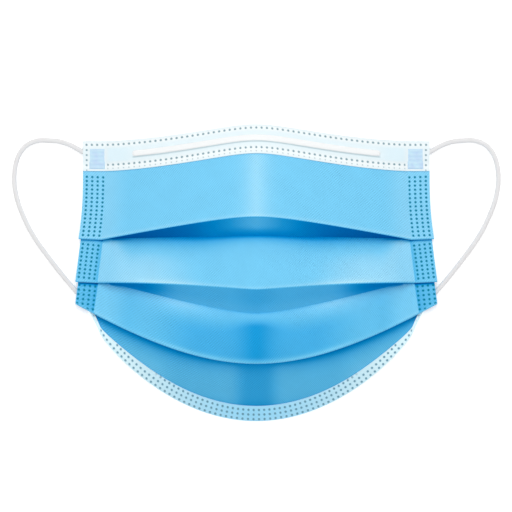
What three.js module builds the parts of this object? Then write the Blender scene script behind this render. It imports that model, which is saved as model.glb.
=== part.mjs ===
import * as THREE from 'three';

// A pleated surgical face mask that lies with its hollow down and its outer face up.
// Millimetres: X across the mask, Y from the chin edge to the nose edge, Z up from the surface.

// Driving dimensions of the cloth.
const noseWidth = 175.8; // nose edge, from side edge to side edge
const cheekWidth = 183.4; // at the second and third folds
const middleHeight = 150.8; // nose edge to chin edge at the middle
const sideHeight = 82.7; // nose corner to the third fold along a side edge
const noseRise = 8.6; // nose edge's middle above its corners
const domeHeight = 48; // second fold's middle above the surface
const sideBandWidth = 11.2; // welded band along each side edge
const pleatDepth = 8; // cloth hidden behind a fold where the pleat is closed
const clothWall = 1.1;
const layerGap = 0.25; // between two layers of a closed pleat
const floorGap = 0.15; // below the lowest creases

// Bindings, nose strip and weld patches.
const bandWall = 1.0;
const bandFit = 0.3; // between a binding and the cloth in it
const noseBandHeight = 15.2;
const chinBandHeight = 8.4;
const chinBandSide = 3.6; // chin binding's height where it runs into the side bands' welds
const chinBandPower = 8; // how late, towards the seam, the chin binding gets narrow
const chinBandReach = 5.6; // length of the chin binding caught in each side band
const stripLength = 126;
const stripHeight = 3.1;
const stripDepth = 0.8;
const stripBelowEdge = 7.15; // strip's middle below the nose edge
const patchWidth = 7.9;
const patchHeight = 10.5;
const patchDepth = 0.5;
const patchFromSide = 7.2; // patch's middle from the side edge
const patchBelowEdge = 9; // patch's middle below the nose edge
const seatGap = 0.3; // between the binding and what sits on it

// Ear loops.
const loopDiameter = 2.4;
const loopSides = 8;
const loopSteps = 24;

// Lines that run from side to side. Tip is at the side edge and seam at the side band's inner edge, both as
// shares of sideHeight below the nose corner. Middle is a share of middleHeight below the nose edge. Soft
// rounds the line's middle and power hollows its flanks. TipPower bends the line in the side band. Rise is
// the middle's height as a share of domeHeight, ridge rounds it, and width goes from noseWidth, 0, to
// cheekWidth, 1.
const lines = {
  noseEdge: { tip: 0, seam: 0, middle: 0, soft: 0.17, power: 1.55, rise: 0.5, ridge: 0.14, width: 0 },
  fold1: { tip: 0.602, seam: 0.607, middle: 0.313, soft: 0.26, power: 1, rise: 0.9, ridge: 0.14, width: 0.58 },
  fold2: { tip: 0.865, seam: 0.871, middle: 0.556, soft: 0.05, power: 2, rise: 1, ridge: 0.16, width: 1 },
  fold3: { tip: 1, seam: 1.076, middle: 0.805, soft: 1, power: 1, rise: 0.9, ridge: 0.35, width: 1 },
  chinEdge: { tip: 0.98, seam: 1.18, middle: 1, soft: 2, power: 0.85, width: 0.77, tipPower: 1.7 },
};
const bandLineRise = 0.65; // height of the nose binding's lower edge at the middle, share of domeHeight

// Pleats, from the nose down. Opening is how far the crease shows below its fold at the middle, a share of
// middleHeight, and less than 0 where it stays hidden. Soft rounds the opening's middle. Tuck is the hidden
// depth at the side bands, a share of pleatDepth, and drop the crease's depth behind the fold at the middle,
// a share of domeHeight. Overhang is how far the bend reaches past its middle there, a share of bendReach.
const pleats = [
  { opening: 0.063, soft: 0.35, tuck: 1, drop: 0.125, overhang: 0.4, width: 0.02 },
  { opening: 0.082, soft: 0.5, tuck: 1, drop: 0.15, overhang: 0.4, width: 0.36 },
  { opening: -0.027, soft: 0.5, tuck: 1, drop: 0.08, overhang: 1, width: 0.77 },
];
const tuckStart = 0.95; // where a pleat starts to close, a share of the way from the middle to the seam
const closingPower = 3; // how late, towards the seam, a pleat's crease draws in

// Panels between the pleats, with the middle's outward bulge as a share of domeHeight. Widening is the power
// by which a panel's width goes from its upper line's to its lower line's.
const panels = {
  noseBand: { bulge: 0, steps: 2 },
  panel1: { bulge: 0.02, steps: 3, widening: 2.5 },
  panel2: { bulge: 0.03, steps: 3 },
  panel3: { bulge: 0.065, steps: 3 },
  panel4: { bulge: 0.12, steps: 5 },
};
const stripSteps = 1;
const bendSteps = 3;
const sectionsPerHalf = 19;

const bendRadius = (clothWall + layerGap) / 2;
const bendReach = bendRadius + clothWall / 2; // a bend's middle to its outer face
const layer = clothWall + layerGap;
const lowSheet = floorGap + clothWall / 2;
const bandReach = clothWall / 2 + bandFit + bandWall; // cloth's middle to a binding's outer face
const edgeInset = bandFit + bandWall; // cloth's edge to the binding's outer edge
const noseCornerY = middleHeight / 2 - noseRise;
const seamShare = 1 - (2 * sideBandWidth) / noseWidth;
const chinBandShare = seamShare + (2 * chinBandReach) / cheekWidth;

const mix = (from, to, share) => from + (to - from) * share;
const limit = (value) => Math.min(1, Math.max(0, value));
const smooth = (value) => limit(value) ** 2 * (3 - 2 * limit(value));

// 1 at the middle and 0 at the seam: a tent whose top is rounded by soft, raised to a power.
function swell(across, soft, power) {
  const fall = (Math.hypot(across, soft) - soft) / (Math.hypot(1, soft) - soft);
  return limit(1 - fall) ** power;
}

function halfWidth(width) {
  return mix(noseWidth, cheekWidth, width) / 2;
}

function lineY(line, across, inBand) {
  const seamY = noseCornerY - line.seam * sideHeight;
  const tipY = noseCornerY - line.tip * sideHeight;
  const middleY = middleHeight / 2 - line.middle * middleHeight;
  const towardsTip = 1 - (1 - inBand) ** (line.tipPower ?? 1);
  return mix(seamY, middleY, swell(across, line.soft, line.power)) + (tipY - seamY) * towardsTip;
}

function creaseY(pleat, foldY, across) {
  const opening = pleat.opening * middleHeight * swell(across, pleat.soft, 1);
  const tuck = pleat.tuck * pleatDepth * smooth((across - tuckStart) / (1 - tuckStart));
  return foldY - opening + tuck;
}

// Heights of the folds in a side band, where all layers lie on each other. Each strip clears the next panel
// at its fold and its own panel at its crease, so the levels are worked out from the lowest pleat up.
function sideFoldLevels(folds, creases, chinSheet) {
  const panelTops = [noseCornerY - noseBandHeight, creases[0], creases[1]];
  const panelStarts = [bandReach, lowSheet, lowSheet];
  const nextStarts = [lowSheet, lowSheet, chinSheet];
  const levels = [];
  for (const index of [2, 1, 0]) {
    const fall = panelTops[index] - folds[index];
    const tuck = creases[index] - folds[index];
    const start = panelStarts[index];
    const nextStart = nextStarts[index];
    const nextShare = index < 2 ? tuck / (creases[index] - folds[index + 1]) : 0;
    const nextEnd = index < 2 ? levels[index + 1] + bendRadius : chinSheet;
    const overNext = mix(nextStart, nextEnd, nextShare) + layer;
    const overCrease = start + ((nextStart + 2 * bendRadius + layer - start) * fall) / (fall - tuck);
    levels[index] = Math.max(overNext + bendRadius, overCrease - bendRadius);
  }
  return levels;
}

// Knots of the cloth's middle line at one section: ends, the nose binding's lower edge, folds and creases.
// Turn is -1 where the cloth bends round a fold, 1 round a crease and 0 where it doesn't bend.
function sectionKnots(share) {
  const across = limit(Math.abs(share) / seamShare);
  const inBand = limit((Math.abs(share) - seamShare) / (1 - seamShare));
  const foldLines = [lines.fold1, lines.fold2, lines.fold3];
  const foldY = foldLines.map((line, index) => {
    const overhang = mix(1, pleats[index].overhang, swell(across, 1, 1));
    return lineY(line, across, inBand) + overhang * bendReach;
  });
  const tucked = foldLines.map((line) => lineY(line, 1, inBand) + bendReach);
  const bare = smooth((Math.abs(share) - chinBandShare) / (1 - chinBandShare));
  const chinSheet = mix(bandReach, lowSheet, bare);
  const tuckedCreases = tucked.map((y, index) => creaseY(pleats[index], y, 1));
  const levels = sideFoldLevels(tucked, tuckedCreases, chinSheet);
  const noseY = lineY(lines.noseEdge, across, inBand);
  const chinY = lineY(lines.chinEdge, across, inBand);
  const rise = (line, level) => mix(level, line.rise * domeHeight, swell(across, line.ridge, 1));
  const bandLine = { rise: bandLineRise, ridge: lines.noseEdge.ridge };
  const bulge = (name) => panels[name].bulge * domeHeight * swell(across, 1, 1) ** 2;
  const knots = [
    { y: noseY, z: rise(lines.noseEdge, bandReach), turn: 0, width: lines.noseEdge.width, run: panels.noseBand },
    {
      y: noseY - noseBandHeight,
      z: rise(bandLine, bandReach),
      turn: 0,
      width: lines.noseEdge.width,
      run: { ...panels.panel1, bulge: bulge('panel1') },
    },
  ];
  foldLines.forEach((line, index) => {
    const pleat = pleats[index];
    const foldZ = rise(line, levels[index]);
    const creaseSheet = index < 2 ? lowSheet : chinSheet;
    const closedDrop = levels[index] - creaseSheet - bendRadius;
    const drop = mix(closedDrop, pleat.drop * domeHeight, 1 - across ** closingPower);
    const panel = ['panel2', 'panel3', 'panel4'][index];
    knots.push({ y: foldY[index], z: foldZ, turn: -1, width: line.width, run: { bulge: 0, steps: stripSteps } });
    knots.push({
      y: creaseY(pleat, foldY[index], across),
      z: foldZ - drop,
      turn: 1,
      width: pleat.width,
      run: { ...panels[panel], bulge: bulge(panel) },
    });
  });
  knots.push({ y: chinY, z: chinSheet, turn: 0, width: lines.chinEdge.width });
  return knots;
}

// A straight or bulged run between two knots, tangent to the small circle that the cloth bends round.
function makeRun(from, to) {
  const along = new THREE.Vector2(to.y - from.y, to.z - from.z);
  const length = along.length();
  along.normalize();
  const front = new THREE.Vector2(along.y, -along.x);
  const lean = ((to.turn - from.turn) * bendRadius) / length;
  const normal = front.multiplyScalar(Math.sqrt(Math.max(0, 1 - lean * lean))).addScaledVector(along, lean);
  const forward = new THREE.Vector2(-normal.y, normal.x);
  const flare = Math.atan((4 * from.run.bulge) / length);
  const turned = (angle) =>
    normal.clone().multiplyScalar(Math.cos(angle)).addScaledVector(forward, Math.sin(angle));
  const startNormal = turned(-flare);
  const endNormal = turned(flare);
  const start = new THREE.Vector2(from.y, from.z).addScaledVector(startNormal, -from.turn * bendRadius);
  const end = new THREE.Vector2(to.y, to.z).addScaledVector(endNormal, -to.turn * bendRadius);
  return { from, to, start, end, startNormal, endNormal };
}

function forwardOf(normal) {
  return new THREE.Vector2(-normal.y, normal.x);
}

// A point on a run's smooth curve, which leaves and arrives along the runs' own directions.
function runPoint(run, share) {
  const length = run.start.distanceTo(run.end);
  const leave = forwardOf(run.startNormal).multiplyScalar(length);
  const arrive = forwardOf(run.endNormal).multiplyScalar(length);
  const s = share;
  const point = run.start.clone().multiplyScalar(2 * s ** 3 - 3 * s ** 2 + 1);
  point.addScaledVector(leave, s ** 3 - 2 * s ** 2 + s);
  point.addScaledVector(run.end, 3 * s ** 2 - 2 * s ** 3);
  point.addScaledVector(arrive, s ** 3 - s ** 2);
  const slope = run.start.clone().multiplyScalar(6 * s ** 2 - 6 * s);
  slope.addScaledVector(leave, 3 * s ** 2 - 4 * s + 1);
  slope.addScaledVector(run.end, 6 * s - 6 * s ** 2);
  slope.addScaledVector(arrive, 3 * s ** 2 - 2 * s).normalize();
  const normal = new THREE.Vector2(slope.y, -slope.x);
  const widened = share ** (run.from.run.widening ?? 1);
  return { point, normal, width: mix(run.from.width, run.to.width, widened) };
}

// Where the cloth bends round a fold or a crease, from one run's end to the next one's start.
function bendPoints(knot, before, after) {
  const fullTurn = 2 * Math.PI;
  const startAngle = before.endNormal.angle();
  let sweep = -knot.turn * (after.startNormal.angle() - startAngle);
  sweep = ((sweep % fullTurn) + fullTurn) % fullTurn;
  if (sweep > 1.5 * Math.PI) {
    sweep -= fullTurn;
  }
  return Array.from({ length: bendSteps + 1 }, (_, step) => {
    const angle = startAngle - knot.turn * sweep * (step / bendSteps);
    const normal = new THREE.Vector2(Math.cos(angle), Math.sin(angle));
    const point = new THREE.Vector2(knot.y, knot.z).addScaledVector(normal, -knot.turn * bendRadius);
    return { point, normal, width: knot.width };
  });
}

// The cloth's middle line at one section, as points with their outward normals.
function sectionCurve(share) {
  const knots = sectionKnots(share);
  const noseKnot = knots[0];
  const chinKnot = knots[knots.length - 1];
  const noseNormal = makeRun(noseKnot, knots[1]).startNormal;
  const chinNormal = makeRun(knots[knots.length - 2], chinKnot).endNormal;
  noseKnot.y -= edgeInset * noseNormal.y + bandReach * noseNormal.x;
  chinKnot.y += edgeInset * chinNormal.y - bandReach * chinNormal.x;
  chinKnot.z += bandReach * (chinNormal.y - 1) - edgeInset * chinNormal.x;
  const runs = knots.slice(1).map((knot, index) => makeRun(knots[index], knot));
  const curve = [runPoint(runs[0], 0)];
  runs.forEach((run, index) => {
    const steps = run.from.run.steps;
    for (let step = 1; step < steps; step += 1) {
      curve.push(runPoint(run, step / steps));
    }
    const next = runs[index + 1];
    if (next && run.to.turn !== 0) {
      curve.push(...bendPoints(run.to, run, next));
    } else {
      const last = runPoint(run, 1);
      if (next) {
        last.normal.add(next.startNormal).normalize();
      }
      curve.push(last);
    }
  });
  return curve;
}

function place(share, sample, offset) {
  const { point, normal, width } = sample;
  return new THREE.Vector3(share * halfWidth(width), point.x + normal.x * offset, point.y + normal.y * offset);
}

// A closed wall between an outer and an inner net, each a list of sections from left to right.
function wallGeometry(sections) {
  const count = sections[0].outer.length;
  const rings = sections.map(({ outer, inner }) => [...outer, ...inner.slice().reverse()]);
  const ringCount = 2 * count;
  const positions = rings.flat().flatMap((point) => point.toArray());
  const indices = [];
  const quad = (a, b, c, d) => indices.push(a, b, c, a, c, d);
  for (let section = 0; section < rings.length - 1; section += 1) {
    for (let index = 0; index < ringCount; index += 1) {
      const next = (index + 1) % ringCount;
      const here = section * ringCount;
      const there = here + ringCount;
      quad(here + index, here + next, there + next, there + index);
    }
  }
  const lastRing = (rings.length - 1) * ringCount;
  for (let index = 0; index < count - 1; index += 1) {
    const twin = ringCount - 1 - index;
    quad(index, twin, twin - 1, index + 1);
    quad(lastRing + index, lastRing + index + 1, lastRing + twin - 1, lastRing + twin);
  }
  const geometry = new THREE.BufferGeometry();
  geometry.setAttribute('position', new THREE.Float32BufferAttribute(positions, 3));
  geometry.setIndex(indices);
  geometry.computeVertexNormals();
  return geometry;
}

// Sections from side to side out to a share of the half width, with one on each side band's inner edge.
function sectionShares(reach = 1) {
  const bandSections = 2;
  const freeSections = sectionsPerHalf - bandSections;
  const half = [0];
  for (let step = 1; step <= freeSections; step += 1) {
    half.push(seamShare * Math.sin((Math.PI / 2) * (step / freeSections)));
  }
  for (let step = 1; step <= bandSections; step += 1) {
    half.push(mix(seamShare, 1, step / bandSections));
  }
  const nearEdge = 0.01;
  const shares = [...half.filter((share) => share < reach - nearEdge), reach];
  return [...shares.slice(1).reverse().map((share) => -share), ...shares];
}

function makeMesh(name, geometry, color, roughness) {
  const material = new THREE.MeshStandardMaterial({ color, roughness, metalness: 0 });
  const mesh = new THREE.Mesh(geometry, material);
  mesh.name = name;
  return mesh;
}

function pleatedBody() {
  const sections = sectionShares().map((share) => {
    const curve = sectionCurve(share);
    return {
      outer: curve.map((sample) => place(share, sample, clothWall / 2)),
      inner: curve.map((sample) => place(share, sample, -clothWall / 2)),
    };
  });
  return makeMesh('pleated_body', wallGeometry(sections), 0x7fcff2, 0.85);
}

// A binding folded round an edge: samples run from the edge inwards, and edgeSign points out of the edge.
function foldedBinding(share, samples, edgeSign) {
  const edge = samples[0];
  const outward = forwardOf(edge.normal).multiplyScalar(edgeSign);
  const beyond = (distance) => ({ ...edge, point: edge.point.clone().addScaledVector(outward, distance) });
  const innerReach = bandReach - bandWall;
  const outerEdge = beyond(edgeInset);
  const innerEdge = beyond(bandFit);
  const leaf = samples.slice(1);
  const lap = (reach, rim) => {
    const path = [
      ...leaf.slice().reverse().map((sample) => place(share, sample, reach)),
      place(share, rim, reach),
      place(share, rim, -reach),
      ...leaf.map((sample) => place(share, sample, -reach)),
    ];
    return edgeSign < 0 ? path.reverse() : path;
  };
  return { outer: lap(bandReach, outerEdge), inner: lap(innerReach, innerEdge) };
}

function topBand() {
  const leafPoints = panels.noseBand.steps + 1;
  const sections = sectionShares().map((share) =>
    foldedBinding(share, sectionCurve(share).slice(0, leafPoints), -1));
  return makeMesh('top_band', wallGeometry(sections), 0xf1f7fb, 0.8);
}

// Samples on the last panel from the chin edge up to the chin binding's height.
function chinSamples(share) {
  const across = limit(Math.abs(share) / seamShare);
  const height = mix(chinBandSide, chinBandHeight, 1 - across ** chinBandPower);
  const leafSteps = 2;
  const curve = sectionCurve(share).slice(-(panels.panel4.steps + 1)).reverse();
  const edge = curve[0];
  const rise = height - edgeInset * edge.normal.y + bandReach * edge.normal.x;
  const samples = [edge];
  for (let step = 1; step <= leafSteps; step += 1) {
    const wanted = edge.point.x + rise * (step / leafSteps);
    const above = Math.max(1, curve.findIndex((sample) => sample.point.x >= wanted));
    const [low, high] = [curve[above - 1], curve[above]];
    const part = limit((wanted - low.point.x) / (high.point.x - low.point.x));
    samples.push({
      point: low.point.clone().lerp(high.point, part),
      normal: low.normal.clone().lerp(high.normal, part).normalize(),
      width: mix(low.width, high.width, part),
    });
  }
  return samples;
}

function bottomBand() {
  const shares = sectionShares(chinBandShare);
  const sections = shares.map((share) => foldedBinding(share, chinSamples(share), 1));
  return makeMesh('bottom_band', wallGeometry(sections), 0xe9f4fb, 0.8);
}

// A point on the nose binding's outer face, given by its distance below the nose edge.
function noseBandPoint(share, below, lift) {
  const curve = sectionCurve(share).slice(0, panels.noseBand.steps + 1);
  const [edge, lower] = [curve[0], curve[curve.length - 1]];
  const part = (below - edgeInset) / (noseBandHeight - edgeInset);
  const sample = {
    point: edge.point.clone().lerp(lower.point, part),
    normal: edge.normal,
    width: mix(edge.width, lower.width, part),
  };
  return place(share, sample, bandReach + lift);
}

function noseStrip() {
  const reach = stripLength / noseWidth;
  const edges = [stripBelowEdge - stripHeight / 2, stripBelowEdge + stripHeight / 2];
  const sections = sectionShares(reach).map((share) => ({
    outer: edges.map((below) => noseBandPoint(share, below, seatGap + stripDepth)),
    inner: edges.map((below) => noseBandPoint(share, below, seatGap)),
  }));
  return makeMesh('nose_strip', wallGeometry(sections), 0xfdfdfd, 0.6);
}

function weldPatch(name, side) {
  const mesh = makeMesh(name, new THREE.BoxGeometry(patchWidth, patchHeight, patchDepth), 0xbfdcee, 0.5);
  const height = 2 * bandReach + seatGap + patchDepth / 2;
  mesh.position.set(side * (noseWidth / 2 - patchFromSide), noseCornerY - patchBelowEdge, height);
  return mesh;
}

// The left loop's middle line as it lies on the surface, from the upper corner round to the lower end.
const loopRoute = [
  [-89.0, 61.8], [-93.8, 64.5], [-99.6, 66.5], [-104.8, 67.0], [-110.0, 67.1], [-114.5, 65.8],
  [-117.7, 63.6], [-120.3, 60.0], [-121.9, 55.5], [-122.7, 50.3], [-122.7, 45.1], [-121.9, 39.9],
  [-120.3, 34.1], [-117.7, 27.7], [-114.5, 21.2], [-110.6, 15.0], [-106.7, 9.6], [-102.2, 3.7],
  [-97.6, -2.1], [-93.8, -6.6], [-92.4, -8.2],
];

function earLoop(name, side) {
  const height = loopDiameter / 2;
  const points = loopRoute.map(([x, y]) => new THREE.Vector3(-side * x, y, height));
  const section = new THREE.Shape();
  section.absarc(0, 0, loopDiameter / 2, 0, 2 * Math.PI);
  const geometry = new THREE.ExtrudeGeometry(section, {
    steps: loopSteps,
    curveSegments: loopSides / 2,
    bevelEnabled: false,
    extrudePath: new THREE.CatmullRomCurve3(points),
  });
  return makeMesh(name, geometry, 0xe4e2e4, 0.9);
}

const mask = new THREE.Group();
mask.name = 'surgical_face_mask';
mask.add(pleatedBody(), topBand(), bottomBand(), noseStrip());
mask.add(weldPatch('weld_patch_left', -1), weldPatch('weld_patch_right', 1));
mask.add(earLoop('ear_loop_left', -1), earLoop('ear_loop_right', 1));

export default mask;
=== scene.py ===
import math

import bpy
import numpy as np
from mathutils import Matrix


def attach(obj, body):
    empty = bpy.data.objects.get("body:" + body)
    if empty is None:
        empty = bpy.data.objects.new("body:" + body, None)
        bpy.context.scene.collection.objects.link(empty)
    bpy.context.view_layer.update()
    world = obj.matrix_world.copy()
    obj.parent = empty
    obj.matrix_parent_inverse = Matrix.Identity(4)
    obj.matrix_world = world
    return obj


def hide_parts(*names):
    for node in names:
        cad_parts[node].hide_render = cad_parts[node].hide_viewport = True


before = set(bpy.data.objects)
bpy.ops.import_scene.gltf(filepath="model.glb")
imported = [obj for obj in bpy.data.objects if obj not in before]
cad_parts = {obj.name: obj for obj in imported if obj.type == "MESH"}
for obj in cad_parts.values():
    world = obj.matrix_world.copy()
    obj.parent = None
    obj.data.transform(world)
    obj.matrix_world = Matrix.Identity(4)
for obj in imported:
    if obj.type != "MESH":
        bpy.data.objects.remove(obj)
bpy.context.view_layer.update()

# Sizes in millimetres, as in the part's source. X goes across the mask, Y from the chin edge to the nose
# edge, and Z up from the surface that the mask lies on.
MM = 0.001
NOSE_WIDTH = 175.8
CHEEK_WIDTH = 183.4
MIDDLE_HEIGHT = 150.8
SIDE_HEIGHT = 82.7
NOSE_RISE = 8.6
DOME_HEIGHT = 48.0
SIDE_BAND_WIDTH = 11.2
PLEAT_DEPTH = 8.0
FLOOR_GAP = 0.15
NOSE_BAND_HEIGHT = 15.2
CHIN_BAND_HEIGHT = 8.4
CHIN_BAND_SIDE = 3.6
CHIN_BAND_POWER = 8
CHIN_BAND_REACH = 5.6
STRIP_LENGTH = 126.0
STRIP_HEIGHT = 3.1
STRIP_BELOW_EDGE = 7.15
PATCH_WIDTH = 7.9
PATCH_HEIGHT = 10.5
PATCH_FROM_SIDE = 7.2
PATCH_BELOW_EDGE = 9.0
LOOP_DIAMETER = 2.4

# Real thicknesses, where the part's solids are thicker.
CLOTH_WALL = 0.7
LAYER_GAP = 0.15
BAND_WALL = 0.5
BAND_FIT = 0.1
STRIP_DEPTH = 0.75
PATCH_DEPTH = 0.21
RIB_HEIGHT = 0.1

# Lines that run from side to side, as in the part's source.
LINES = {
    "nose_edge": dict(tip=0, seam=0, middle=0, soft=0.17, power=1.55, rise=0.5, ridge=0.14, width=0),
    "fold1": dict(tip=0.602, seam=0.607, middle=0.313, soft=0.26, power=1, rise=0.9, ridge=0.14, width=0.58),
    "fold2": dict(tip=0.865, seam=0.871, middle=0.556, soft=0.05, power=2, rise=1, ridge=0.16, width=1),
    "fold3": dict(tip=1, seam=1.076, middle=0.805, soft=1, power=1, rise=0.9, ridge=0.35, width=1),
    "chin_edge": dict(tip=0.98, seam=1.18, middle=1, soft=2, power=0.85, width=0.77, tip_power=1.7),
}
BAND_LINE_RISE = 0.65
PLEATS = [
    dict(opening=0.063, soft=0.35, tuck=1, drop=0.125, overhang=0.4, width=0.02),
    dict(opening=0.082, soft=0.5, tuck=1, drop=0.15, overhang=0.4, width=0.36),
    dict(opening=-0.027, soft=0.5, tuck=1, drop=0.08, overhang=1, width=0.77),
]
TUCK_START = 0.95
CLOSING_POWER = 3
BULGES = [0, 0.02, 0, 0.03, 0, 0.065, 0, 0.12]
WIDENING = [1, 2.5, 1, 1, 1, 1, 1, 1]

BEND_RADIUS = (CLOTH_WALL + LAYER_GAP) / 2
BEND_REACH = BEND_RADIUS + CLOTH_WALL / 2
LAYER = CLOTH_WALL + LAYER_GAP
LOW_SHEET = FLOOR_GAP + CLOTH_WALL / 2
BAND_REACH = CLOTH_WALL / 2 + BAND_FIT + BAND_WALL
EDGE_INSET = BAND_FIT + BAND_WALL
NOSE_CORNER_Y = MIDDLE_HEIGHT / 2 - NOSE_RISE
SEAM = 1 - 2 * SIDE_BAND_WIDTH / NOSE_WIDTH
CHIN_BAND_SHARE = SEAM + 2 * CHIN_BAND_REACH / CHEEK_WIDTH

PANEL_PITCH = 36.0  # cloth from one fold to the next along the pressed pattern

# The left loop's route on the surface, from the upper corner to the lower end, as in the part's source.
LOOP_ROUTE = [
    (-89.0, 61.8), (-93.8, 64.5), (-99.6, 66.5), (-104.8, 67.0), (-110.0, 67.1), (-114.5, 65.8),
    (-117.7, 63.6), (-120.3, 60.0), (-121.9, 55.5), (-122.7, 50.3), (-122.7, 45.1), (-121.9, 39.9),
    (-120.3, 34.1), (-117.7, 27.7), (-114.5, 21.2), (-110.6, 15.0), (-106.7, 9.6), (-102.2, 3.7),
    (-97.6, -2.1), (-93.8, -6.6), (-92.4, -8.2),
]
LOOP_START_TUCK = [(-82.4, 58.6), (-85.6, 60.1)]
LOOP_END_TUCK = [(-90.2, -10.7), (-87.9, -13.4)]
LOOP_PRESSED = 0.62  # height of the elastic where it is caught in the weld, share of its diameter


def mix(start, end, share):
    """Straight blend from start to end."""
    return start + (end - start) * share


def smooth(value):
    """Smooth step: 0 below 0, 1 above 1 and 3v^2 - 2v^3 between."""
    value = np.clip(value, 0, 1)
    return value * value * (3 - 2 * value)


def bell(value, width, power=2):
    """1 at 0, falling to 0 on both sides: e to the minus of |value / width| raised to a power."""
    return np.exp(-((np.abs(value) / width) ** power))


def swell(across, soft, power):
    """1 at the middle and 0 at the seam: a tent whose top is rounded by soft, raised to a power."""
    fall = (np.hypot(across, soft) - soft) / (np.hypot(1, soft) - soft)
    return np.clip(1 - fall, 0, 1) ** power


def half_width(width):
    """Half the mask's width, from 0 at the nose edge to 1 at the cheeks."""
    return mix(NOSE_WIDTH, CHEEK_WIDTH, width) / 2


def line_y(line, across, in_band):
    """Y of a line: blend from its seam to its middle by swell, plus its slope inside the side band."""
    seam_y = NOSE_CORNER_Y - line["seam"] * SIDE_HEIGHT
    tip_y = NOSE_CORNER_Y - line["tip"] * SIDE_HEIGHT
    middle_y = MIDDLE_HEIGHT / 2 - line["middle"] * MIDDLE_HEIGHT
    towards_tip = 1 - (1 - in_band) ** line.get("tip_power", 1)
    return mix(seam_y, middle_y, swell(across, line["soft"], line["power"])) + (tip_y - seam_y) * towards_tip


def crease_y(pleat, fold_y, across):
    """Y of a crease: its fold, less the pleat's opening in the middle, plus the tuck near the seam."""
    opening = pleat["opening"] * MIDDLE_HEIGHT * swell(across, pleat["soft"], 1)
    tuck = pleat["tuck"] * PLEAT_DEPTH * smooth((across - TUCK_START) / (1 - TUCK_START))
    return fold_y - opening + tuck


def side_fold_levels(folds, creases, chin_sheet):
    """Fold heights in a side band: a strip clears the panel below at its fold and its own at its crease."""
    tops = [NOSE_CORNER_Y - NOSE_BAND_HEIGHT, creases[0], creases[1]]
    starts = [BAND_REACH, LOW_SHEET, LOW_SHEET]
    next_starts = [LOW_SHEET, LOW_SHEET, chin_sheet]
    levels = [None, None, None]
    for index in (2, 1, 0):
        fall = tops[index] - folds[index]
        tuck = creases[index] - folds[index]
        next_share = tuck / (creases[index] - folds[index + 1]) if index < 2 else 0
        next_end = levels[index + 1] + BEND_RADIUS if index < 2 else chin_sheet
        over_next = mix(next_starts[index], next_end, next_share) + LAYER
        rise = next_starts[index] + 2 * BEND_RADIUS + LAYER - starts[index]
        over_crease = starts[index] + rise * fall / (fall - tuck)
        levels[index] = np.maximum(over_next + BEND_RADIUS, over_crease - BEND_RADIUS)
    return levels


def band_shares(share):
    """How far a section lies from middle to seam, and from seam to side edge, each from 0 to 1."""
    across = np.clip(np.abs(share) / SEAM, 0, 1)
    in_band = np.clip((np.abs(share) - SEAM) / (1 - SEAM), 0, 1)
    return across, in_band


def section_knots(share):
    """Ends, band line, folds and creases at each section, as complex y + iz with their turn and width."""
    across, in_band = band_shares(share)
    folds = [LINES["fold1"], LINES["fold2"], LINES["fold3"]]
    fold_y = [
        line_y(line, across, in_band) + mix(1, pleat["overhang"], swell(across, 1, 1)) * BEND_REACH
        for line, pleat in zip(folds, PLEATS)
    ]
    one = np.ones_like(across)
    tucked = [line_y(line, one, in_band) + BEND_REACH for line in folds]
    bare = smooth((np.abs(share) - CHIN_BAND_SHARE) / (1 - CHIN_BAND_SHARE))
    chin_sheet = mix(BAND_REACH, LOW_SHEET, bare)
    tucked_creases = [crease_y(pleat, y, one) for pleat, y in zip(PLEATS, tucked)]
    levels = side_fold_levels(tucked, tucked_creases, chin_sheet)
    nose_y = line_y(LINES["nose_edge"], across, in_band)
    chin_y = line_y(LINES["chin_edge"], across, in_band)
    nose_ridge = swell(across, LINES["nose_edge"]["ridge"], 1)
    nose_z = mix(BAND_REACH, LINES["nose_edge"]["rise"] * DOME_HEIGHT, nose_ridge)
    line_z = mix(BAND_REACH, BAND_LINE_RISE * DOME_HEIGHT, nose_ridge)
    knots = [(nose_y + 1j * nose_z, 0, 0), (nose_y - NOSE_BAND_HEIGHT + 1j * line_z, 0, 0)]
    for index, (line, pleat) in enumerate(zip(folds, PLEATS)):
        fold_z = mix(levels[index], line["rise"] * DOME_HEIGHT, swell(across, line["ridge"], 1))
        crease_sheet = LOW_SHEET if index < 2 else chin_sheet
        closed = levels[index] - crease_sheet - BEND_RADIUS
        drop = mix(closed, pleat["drop"] * DOME_HEIGHT, 1 - across**CLOSING_POWER)
        knots.append((fold_y[index] + 1j * fold_z, -1, line["width"]))
        knots.append((crease_y(pleat, fold_y[index], across) + 1j * (fold_z - drop), 1, pleat["width"]))
    knots.append((chin_y + 1j * chin_sheet, 0, LINES["chin_edge"]["width"]))
    return knots, across


def make_run(start, end, bulge, widening=1):
    """Tangent line between the circles that the cloth bends round at two knots, flared outwards by a bulge.

    Widening is the power by which the run's width goes from its start's to its end's.
    """
    along = end[0] - start[0]
    length = np.abs(along)
    along = along / length
    lean = (end[1] - start[1]) * BEND_RADIUS / length
    normal = -1j * along * np.sqrt(np.maximum(0, 1 - lean * lean)) + along * lean
    flare = np.arctan(4 * bulge / length)
    first = normal * np.exp(-1j * flare)
    last = normal * np.exp(1j * flare)
    return dict(
        first=first, last=last, start=start[0] - start[1] * BEND_RADIUS * first,
        end=end[0] - end[1] * BEND_RADIUS * last, widths=(start[2], end[2]), widening=widening,
    )


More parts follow.
